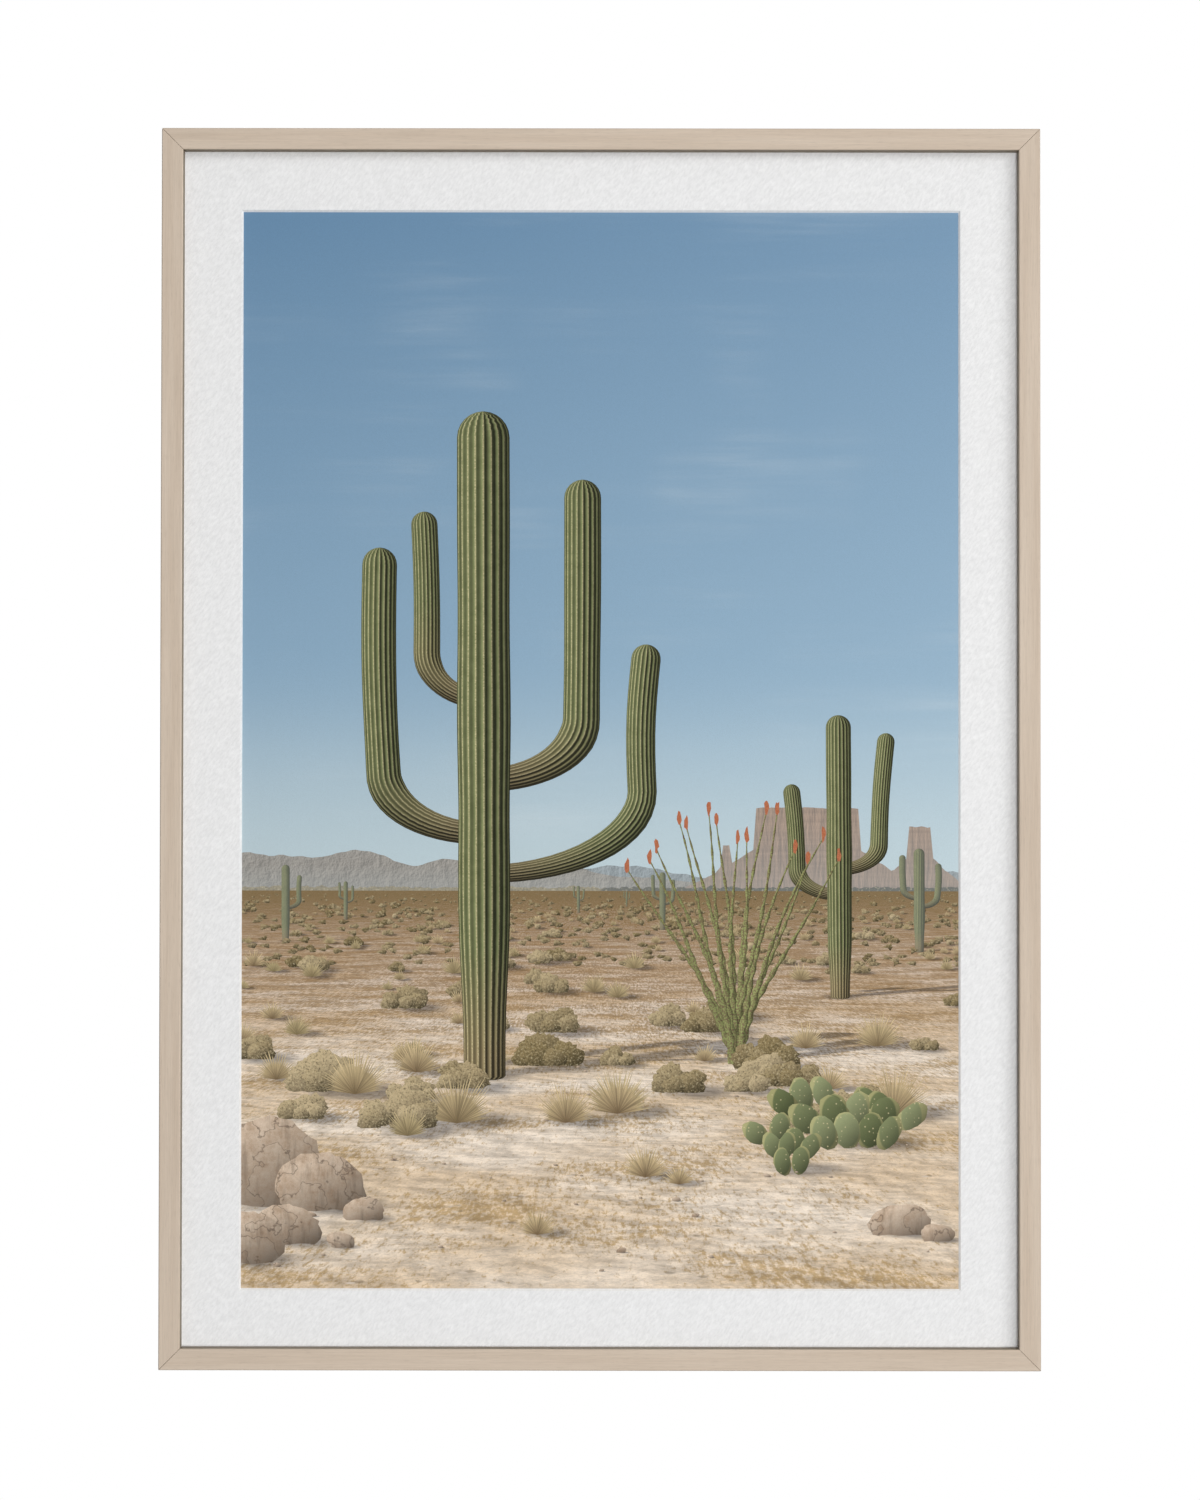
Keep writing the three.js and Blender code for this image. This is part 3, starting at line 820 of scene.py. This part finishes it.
def scrub_ink(name, haze):
    # Low grey-green desert scrub: a mass of twigs and small leaves, pale on top and dark inside
    material, add, shader, seen = start_ink(name)
    twigs = add("TexNoise", add("Mapping", seen["place"], None, None, (0.42, 1, 0.34)), 1.0, 5.0, 0.72)
    lit = disc_light(add, seen, add("MapRange", twigs, 0.34, 0.66, 1.2, -1.2), 0.24, 1.25)
    leaf = add("Mix", seen["tone"], colour("857552"), colour("B8A684"), data_type="RGBA")
    leaf = add("VectorMath", leaf, named={"Scale": lit}, operation="SCALE")
    sprigs = add("TexNoise", seen["place"], 0.55, 4.0, 0.75)
    leaf = add("Mix", add("MapRange", sprigs, 0.54, 0.64, 0.0, 0.6), leaf, colour("D2C49E"), data_type="RGBA")
    leaf = add("Mix", add("MapRange", sprigs, 0.46, 0.38, 0.0, 0.7), leaf, colour("4A4430"), data_type="RGBA")
    leaf = add("Mix", haze, leaf, HAZE, data_type="RGBA")
    return dry_ink(material, add, shader, seen, leaf)


def granite_ink():
    # Weathered granite: rounded, pinkish tan, pitted, with a few dark joints
    material, add, shader, seen = start_ink("granite_ink")
    pits = add("TexNoise", seen["place"], 0.07, 9.0, 0.78)
    lit = disc_light(add, seen, add("MapRange", pits, 0.34, 0.66, 0.8, -0.8), 0.3, 1.2)
    pale = add("MapRange", pits, 0.35, 0.65, 0.0, 1.0)
    rock = add("Mix", pale, colour("A58D76"), colour("DECBB6"), data_type="RGBA")
    stains = add("TexNoise", add("Mapping", seen["place"], None, None, (0.16, 1, 0.03)), 1.0, 4.0, 0.6)
    rock = add("Mix", add("MapRange", stains, 0.52, 0.7, 0.0, 0.5), rock, colour("7B6B5C"), data_type="RGBA")
    rock = add("VectorMath", rock, named={"Scale": lit}, operation="SCALE")
    joints = add("Math", add("TexNoise", seen["place"], 0.035, 4.0, 0.5), 0.5, operation="SUBTRACT")
    joints = add("MapRange", add("Math", joints, operation="ABSOLUTE"), 0.0, 0.012, 0.7, 0.0)
    rock = add("Mix", joints, rock, colour("5E5044"), data_type="RGBA")
    return dry_ink(material, add, shader, seen, rock)


def pad_ink():
    # Flat green cactus pads: smooth, yellower at the rim, with rows of small pale spine cushions
    material, add, shader, seen = start_ink("pad_ink")
    blotches = add("TexNoise", seen["place"], 0.12, 3.0, 0.6)
    lit = disc_light(add, seen, add("MapRange", blotches, 0.3, 0.7, -0.2, 0.2), 0.34, 1.1)
    skin = add("Mix", seen["tone"], colour("6B744E"), colour("99A077"), data_type="RGBA")
    rim = add("MapRange", flat_distance(add, seen["ink"]), 0.86, 0.98, 0.0, 0.5)
    skin = add("Mix", rim, skin, colour("C9C089"), data_type="RGBA")
    skin = add("VectorMath", skin, named={"Scale": lit}, operation="SCALE")
    cushions = add("TexVoronoi", seen["place"], 0.26, named={"Randomness": 0.45})
    cushions = add("MapRange", cushions, 0.12, 0.22, 0.75, 0.0)
    skin = add("Mix", cushions, skin, colour("DCCFA2"), data_type="RGBA")
    return dry_ink(material, add, shader, seen, skin)


def wand_ink():
    # Thorny wands: grey-brown bark thickly set with small green leaves
    material, add, shader, seen = start_ink("wand_ink")
    lit = lit_by_sun(add, add("Math", seen["across"], operation="ARCSINE"), seen, 0.4, 1.15)
    leaves = add("MapRange", add("TexNoise", seen["place"], 0.7, 3.0, 0.7), 0.42, 0.58, 0.0, 1.0)
    wand = add("Mix", leaves, colour("7A6A50"), colour("98A066"), data_type="RGBA")
    wand = add("VectorMath", wand, named={"Scale": lit}, operation="SCALE")
    return dry_ink(material, add, shader, seen, wand)


def blossom_ink():
    # Dense narrow heads of small tube flowers, a dusty orange red
    material, add, shader, seen = start_ink("blossom_ink")
    petals = add("TexNoise", seen["place"], 0.9, 2.0, 0.6)
    flower = add("Mix", petals, colour("8E4A34"), colour("D98A62"), data_type="RGBA")
    return dry_ink(material, add, shader, seen, flower)


def bare_paper():
    # Cotton paper without ink: a soft natural white
    white = colour("F0EEE9")
    return start_material("bare_cotton_paper", Base_Color=white, Roughness=0.9, Specular_IOR_Level=0.2)[0]


def weigh(source, spot):
    """The values of a laid face at a spot inside it, from the values at its three known spots."""
    _, _, (a, b, c), values = faces[source]
    whole = doubled_area(a, b, c)
    first, second = doubled_area(spot, b, c) / whole, doubled_area(a, spot, c) / whole
    shares = (first, second, 1 - first - second)
    return [sum(share * value[i] for share, value in zip(shares, values)) for i in range(4)]


def cut_picture():
    """Cuts all that was laid into one flat mosaic, where the last shape laid shows at each spot."""
    outlines = [face[1] for face in faces]
    spots, _, cut, _, _, cut_from = delaunay_2d_cdt(places, [], outlines, 1, CUT_TOLERANCE, True)
    covered = [0.0] * len(faces)
    for corners, sources in zip(cut, cut_from):
        size = doubled_area(*(spots[corner] for corner in corners))
        for source in sources:
            covered[source] += size
    # The cutter now and then takes the outside of a small face for its inside. Such a face is left out.
    spilt = {number for number, size in enumerate(covered) if number >= paper_faces and size > 2 * SPILT_AREA}
    tiles = []
    for corners, sources in zip(cut, cut_from):
        sources = sources if spilt.isdisjoint(sources) else [s for s in sources if s not in spilt]
        in_picture = any(paper_faces <= source < open_faces for source in sources)
        allowed = [source for source in sources if in_picture or source < paper_faces]
        inked = [source for source in allowed if faces[source][0] != SHADOW]
        if not inked:
            continue
        shown = max(inked)
        shadows = [source for source in sources if source > shown and shown < open_faces]
        values = []
        for corner in corners:
            value = weigh(shown, spots[corner])
            value[3] = max([value[3]] + [weigh(shadow, spots[corner])[3] for shadow in shadows])
            values.append(value)
        tiles.append((faces[shown][0], corners, values))
    return spots, tiles


inks = {
    "paper": bare_paper(), "sky": sky_ink(), "sand": sand_ink(), "hills": hill_ink(), "cliffs": cliff_ink(),
    "far_scrub": scrub_ink("far_scrub_ink", 0.3), "far_cactus": cactus_ink("far_cactus_ink", 0.12),
    "cactus": cactus_ink("cactus_ink", 0.0), "scrub": scrub_ink("scrub_ink", 0.0), "grass": grass_ink(),
    "granite": granite_ink(), "pads": pad_ink(), "wand": wand_ink(), "blossom": blossom_ink(),
}
ink_numbers = {name: number for number, name in enumerate(inks)}


def corners_of(made):
    """The corners among what a bmesh operator has just made."""
    return [item for item in made["geom"] if isinstance(item, bmesh.types.BMVert)]


cut_spots, tiles = cut_picture()
sheet = bmesh.new()
ink_layer = sheet.loops.layers.float_color.new("ink")
map_layer = sheet.loops.layers.uv.new("OFBake")
front_corners = []
for spot in cut_spots:
    place = (sheet_middle.x + spot.x * MM, print_low.y, sheet_middle.z + spot.y * MM)
    front_corners.append(sheet.verts.new(place))
for ink, corners, values in tiles:
    face = sheet.faces.new([front_corners[corner] for corner in corners])
    face.material_index = ink_numbers[ink]
    for loop, value in zip(face.loops, values):
        loop[ink_layer] = value
bmesh.ops.delete(sheet, geom=[vert for vert in sheet.verts if not vert.link_faces], context="VERTS")
rim = [edge for edge in sheet.edges if edge.is_boundary]
back_corners = corners_of(bmesh.ops.extrude_edge_only(sheet, edges=rim))
bmesh.ops.translate(sheet, verts=back_corners, vec=(0, print_high.y - print_low.y, 0))
bmesh.ops.contextual_create(sheet, geom=[edge for edge in sheet.edges if edge.is_boundary])
bmesh.ops.recalc_face_normals(sheet, faces=sheet.faces)
strips = {(0, 1, 0): 0, (-1, 0, 0): 1, (1, 0, 0): 2, (0, 0, -1): 3, (0, 0, 1): 4}
for face in sheet.faces:
    strip = strips.get(tuple(round(part) for part in face.normal))
    for loop in face.loops:
        across, depth, up = ((loop.vert.co - print_low)[i] / (print_high - print_low)[i] for i in range(3))
        if strip is None:
            loop[map_layer].uv = (across * (1 - EDGE_STRIP), up)
        else:
            aside, upward = ((across, up), (depth, up), (depth, up), (depth, across), (depth, across))[strip]
            loop[map_layer].uv = (1 - EDGE_STRIP * (1 - (strip + 0.1 + 0.8 * aside) / len(strips)), upward)
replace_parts(add_piece("picture", sheet, list(inks.values())), "print_sheet")


# Mounting board: 3 mm of white foam faced with paper on both sides, which keeps the sheet flat
def foam_board():
    # Paper-faced foam: a matt warm white with faint paper fibres
    material, add, shader = start_material("paper_faced_foam", Roughness=0.9)
    place = add("TexCoord", output="Object")
    fibres = add("TexNoise", place, 900.0, 3.0, 0.6)
    paper = add("Mix", fibres, colour("EAE7E0"), colour("F6F4F0"), data_type="RGBA")
    return finish(material, shader, Base_Color=paper)


dress("mounting_board", foam_board())


# Backing board: 3 mm of medium-density fibreboard, sawn to size and held down by the tabs
def fibreboard():
    # Pressed wood fibre: an even tan with short fibre flecks about 1 mm long and faint clouds
    material, add, shader = start_material("fibreboard", Roughness=0.82, Specular_IOR_Level=0.3)
    place = add("TexCoord", output="Object")
    cloud = add("TexNoise", place, 18.0, 3.0, 0.5)
    felted = add("TexNoise", place, 1100.0, 4.0, 0.7)
    flecks = add("TexVoronoi", add("Mapping", place, None, (0, 0.5, 0), (700, 700, 260)), 1.0)
    board = add("Mix", cloud, colour("A07C56"), colour("B8946B"), data_type="RGBA")
    tone = add("MapRange", felted, 0.25, 0.75, 0.86, 1.12)
    board = add("VectorMath", board, named={"Scale": tone}, operation="SCALE")
    fleck = add("MapRange", flecks, 0.05, 0.16, 1.0, 0.0)
    board = add("Mix", fleck, board, colour("7A5A3A"), data_type="RGBA")
    bump = add("Bump", 0.3, 0.1 * MM, named={"Height": felted})
    return finish(material, shader, Base_Color=board, Normal=bump)


dress("backing_board", fibreboard())


# Retaining tabs: stamped steel points, driven into the rebate wall to hold the boards down
TAB_ROUNDING = 0.15 * MM


def zinc_plated_steel():
    # Bright zinc plate on stamped steel: a cool grey metal with a faint crystalline mottle about
    # 2 mm across and a satin sheen
    material, add, shader = start_material("zinc_plated_steel", Metallic=1.0)
    place = add("TexCoord", output="Object")
    crystals = add("TexVoronoi", place, 600.0, output="Color")
    mottle = add("TexNoise", place, 250.0, 2.0, 0.5)
    spread = add("SeparateXYZ", crystals, output="X")
    plate = add("Mix", spread, colour("AEB1B4"), colour("C6C8CA"), data_type="RGBA")
    gloss = add("MapRange", mottle, 0.3, 0.7, 0.3, 0.46)
    return finish(material, shader, Base_Color=plate, Roughness=gloss)


plated = zinc_plated_steel()
for node in sorted(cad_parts):
    if node.startswith("tab_"):
        tab = merged_copy(node, TAB_ROUNDING, 2)
        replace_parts(add_piece(f"point_{node[4:]}", tab, [plated]), node)


# Hangers: two stamped sawtooth strips of zinc-plated steel, let into the back of the top rail
HANGER_ROUNDING = 0.12 * MM

for side in ("left", "right"):
    hanger = merged_copy(f"hanger_{side}", HANGER_ROUNDING, 2)
    piece = add_piece(f"sawtooth_{side}", hanger, [plated])
    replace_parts(piece, f"hanger_{side}")


# Screws: four small pan-head screws with a cross recess, turned into the top rail through the ends of
# the hangers. Zinc-plated like them.
SCREW_STEPS = 32
SCREW_PROFILE = ((1.5, 0), (2.1, 0.08), (2.5, 0.25), (2.74, 0.5), (2.8, 0.72), (2.8, 1), (1.3, 1), (1.3, 8))
RECESS_REACH, RECESS_HALF_WIDTH = 1.25 * MM, 0.3 * MM
RECESS_DEPTH, RECESS_TAPER = 0.75 * MM, 0.55


def make_screw(node):
    """Spins the head and shank round the screw's axis, and sinks a cross into the head."""
    low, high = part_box(node)
    shape = bmesh.new()
    tip = (0, (high.y - low.y) / MM)
    profile = [shape.verts.new((radius * MM, -depth * MM, 0)) for radius, depth in SCREW_PROFILE + (tip,)]
    sides = [shape.edges.new(ends) for ends in zip(profile, profile[1:])]
    bmesh.ops.spin(shape, geom=profile + sides, axis=(0, 1, 0), cent=(0, 0, 0), dvec=(0, 0, 0),
                   angle=2 * math.pi, steps=SCREW_STEPS, use_merge=True)
    bmesh.ops.remove_doubles(shape, verts=shape.verts, dist=MERGED)
    corners = []
    for quarter in range(4):
        turn = Matrix.Rotation(math.pi / 2 * quarter, 3, "Y")
        for aside, up in ((RECESS_HALF_WIDTH, RECESS_REACH), (RECESS_HALF_WIDTH, RECESS_HALF_WIDTH),
                          (RECESS_REACH, RECESS_HALF_WIDTH)):
            corners.append(shape.verts.new(turn @ Vector((aside, 0, up))))
    cross = shape.faces.new(corners)
    floor = corners_of(bmesh.ops.extrude_face_region(shape, geom=[cross]))
    bmesh.ops.scale(shape, verts=floor, vec=(RECESS_TAPER, 1, RECESS_TAPER))
    bmesh.ops.translate(shape, verts=floor, vec=(0, -RECESS_DEPTH, 0))
    bmesh.ops.delete(shape, geom=[cross], context="FACES_ONLY")
    open_edges = [edge for edge in shape.edges if edge.is_boundary]
    bmesh.ops.triangle_fill(shape, use_beauty=True, edges=open_edges, normal=(0, 1, 0))
    bmesh.ops.recalc_face_normals(shape, faces=shape.faces)
    bmesh.ops.translate(shape, verts=shape.verts, vec=((low.x + high.x) / 2, high.y, (low.z + high.z) / 2))
    return shape


for node in sorted(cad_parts):
    if node.startswith("screw_"):
        piece = add_piece(f"pan_head_{node[6:]}", make_screw(node), [plated])
        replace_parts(piece, node)


# Corner nails: two V-shaped steel wedges pressed across each mitre from behind, which hold the
# glued joint closed. Their edges stand just clear of the wood.
NAIL_LENGTH = 7 * MM
NAIL_INSETS = (5.0, 9.6)
NAIL_OUTLINE = ((-5, -0.95), (0, 1.45), (5, -0.95), (5, -1.45), (0, 0.95), (-5, -1.45))


def bright_steel():
    # Drawn steel strip: a darker, bluer grey than the zinc, with a light film of oil
    material, add, shader = start_material("drawn_steel_strip", Metallic=1.0)
    wear = add("TexNoise", add("TexCoord", output="Object"), 800.0, 2.0, 0.5)
    steel = add("Mix", wear, colour("8B8F94"), colour("A6A9AC"), data_type="RGBA")
    return finish(material, shader, Base_Color=steel)


nails = bmesh.new()
for x, inward_x in ((low[0], 1), (high[0], -1)):
    for z, inward_z in ((low[2], 1), (high[2], -1)):
        for inset in NAIL_INSETS:
            inward = Vector((inward_x, inward_z)).normalized()
            across = Vector((inward.y, -inward.x))
            middle_spot = Vector((x, z)) + Vector((inward_x, inward_z)) * inset * MM
            corners = []
            for aside, along in NAIL_OUTLINE:
                spot = middle_spot + (across * aside + inward * along) * MM
                corners.append(nails.verts.new((spot.x, 0, spot.y)))
            end = nails.faces.new(corners)
            point = corners_of(bmesh.ops.extrude_face_region(nails, geom=[end], use_keep_orig=True))
            bmesh.ops.translate(nails, verts=point, vec=(0, -NAIL_LENGTH, 0))
bmesh.ops.recalc_face_normals(nails, faces=nails.faces)
add_piece("corner_nails", nails, [bright_steel()])


# Light and floor: a white room with one large soft lamp far to the right and above, whose light rakes
# over the right and top rails, a softer one low in front, two behind, and a plain pale floor. The
# floor throws no light back, which would shade the mat along the bottom rail.
ROOM_LIGHT = 0.167
FLOOR_HEIGHT = -1.65
FLOOR_RADIUS, FLOOR_FADE = 1.3, 0.6
FLOOR_POINTS = 96

world = bpy.data.worlds.new("white_room")
world.use_nodes = True
world.node_tree.nodes.clear()
add = partial(add_node, world.node_tree)
seen = add("Background", colour("FFFFFF"), 1.0)
lit = add("Background", colour("FFFFFF"), ROOM_LIGHT)
looked_at = add("LightPath", output="Is Camera Ray")
room = add("MixShader", looked_at, lit, seen)
surface = world.node_tree.nodes.new("ShaderNodeOutputWorld")
world.node_tree.links.new(room, surface.inputs["Surface"])
bpy.context.scene.world = world


def add_lamp(name, place, target, size, watts):
    lamp = bpy.data.lights.new(name, "AREA")
    lamp.shape = "RECTANGLE"
    lamp.size, lamp.size_y = size
    lamp.energy = watts
    holder = bpy.data.objects.new(name, lamp)
    bpy.context.scene.collection.objects.link(holder)
    aim = (Vector(target) - Vector(place)).to_track_quat("-Z", "Y")
    holder.matrix_world = Matrix.Translation(place) @ aim.to_matrix().to_4x4()
    return holder


print_middle = (0, 0, middle.z)
add_lamp("key", (5.8, -6.0, 2.8), print_middle, (6.0, 4.5), 341)
front = add_lamp("front", (0.6, -4.4, -0.8), print_middle, (1.4, 1.4), 98)
front.visible_glossy = False
for side in (-1, 1):
    add_lamp("rear", (1.7 * side, 2.0, 1.3), print_middle, (1.8, 1.8), 62)

disc = bmesh.new()
bmesh.ops.create_circle(disc, cap_ends=True, segments=FLOOR_POINTS, radius=FLOOR_RADIUS)
bmesh.ops.translate(disc, verts=disc.verts, vec=(0, 0, FLOOR_HEIGHT))
floor_mesh = bpy.data.meshes.new("floor")
disc.to_mesh(floor_mesh)
disc.free()
painted, add, shader = start_material("pale_floor", Base_Color=colour("F2F1EF"), Roughness=0.9)
reach = flat_distance(add, add("TexCoord", output="Object"))
fade = add("MapRange", reach, FLOOR_FADE, FLOOR_RADIUS, 1.0, 0.0, interpolation_type="SMOOTHSTEP")
finish(painted, shader, Alpha=fade)
floor_mesh.materials.append(painted)
floor = bpy.data.objects.new("floor", floor_mesh)
bpy.context.scene.collection.objects.link(floor)
floor.visible_diffuse = False
